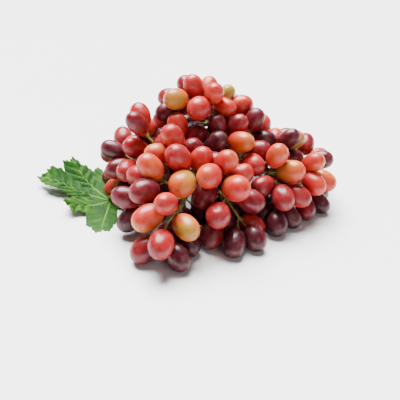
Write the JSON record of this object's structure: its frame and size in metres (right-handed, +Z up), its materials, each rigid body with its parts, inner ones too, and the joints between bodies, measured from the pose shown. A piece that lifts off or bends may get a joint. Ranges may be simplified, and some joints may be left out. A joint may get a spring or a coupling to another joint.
{
  "type": "bunch of grapes",
  "caption": "Heaped bunch of oval red table grapes lying on its side, berries on a branching green stem, with a vine leaf tucked under one edge.",
  "frame": {"origin": "on the surface the bunch lies on, under the middle of the whole part's outline", "axes": "+Z up; +X along the longest way of the heap, the leaf at its -X end; -Y towards the low front of the heap"},
  "size_m": [0.2726, 0.231, 0.1096],
  "materials": {
    "skin_coral": "thin translucent coral to amber grape skin with a faint waxy bloom",
    "skin_red": "translucent red grape skin with a faint waxy bloom",
    "skin_plum": "dark plum grape skin with a faint waxy bloom",
    "stem": "matt green fresh stem, browner at the nodes",
    "leaf": "soft satin green vine leaf with paler veins"
  },
  "bodies": {
    "root": {"berries_crown_peak": "skin_red", "berries_crown_left": "skin_red", "berries_crown_front": "skin_red", "berries_crown_small": "skin_coral", "berries_crown_right": "skin_red", "berries_crown_face_left": "skin_red", "berries_crown_face_right": "skin_red", "berries_crown_under": "skin_plum", "berries_crown_back_left": "skin_red", "berries_crown_back_right": "skin_red", "berries_crown_shoulder": "skin_red", "berries_left_high": "skin_red", "berries_left_mid": "skin_red", "berries_left_side": "skin_red", "berries_left_low": "skin_red", "berries_left_foot": "skin_plum", "berries_left_back": "skin_red", "berries_left_back_high": "skin_red", "berries_left_back_low": "skin_red", "berries_ridge_left": "skin_coral", "berries_ridge_edge": "skin_red", "berries_ridge_mid": "skin_coral", "berries_ridge_front": "skin_red", "berries_front_face": "skin_coral", "berries_front_toe": "skin_red", "berries_front_toe_in": "skin_red", "berries_front_foot": "skin_red", "berries_front_foot_right": "skin_plum", "berries_centre_face": "skin_red", "berries_centre_top": "skin_red", "berries_right_near": "skin_coral", "berries_right_face": "skin_red", "berries_right_foot": "skin_plum", "berries_right_end": "skin_coral", "berries_right_end_low": "skin_plum", "berries_right_top": "skin_red", "berries_right_top_end": "skin_red", "berries_right_top_mid": "skin_plum", "berries_right_back": "skin_red", "berries_right_back_low": "skin_plum", "berries_back_high": "skin_red", "berries_back_mid": "skin_red", "berries_back_low_left": "skin_plum", "berries_back_low_mid": "skin_plum", "berries_back_low_right": "skin_plum", "berries_back_face": "skin_red", "berries_back_face_left": "skin_red", "berries_under_left": "skin_plum", "berries_under_left_back": "skin_plum", "berries_under_front": "skin_plum", "berries_under_centre": "skin_plum", "berries_under_right": "skin_plum", "berries_under_right_back": "skin_plum", "berries_under_back": "skin_plum", "berries_under_mid": "skin_plum", "berries_inner_left": "skin_plum", "berries_inner_right": "skin_plum", "berries_inner_crown": "skin_plum", "stem": "stem", "leaf": "leaf"}
  },
  "joints": []
}
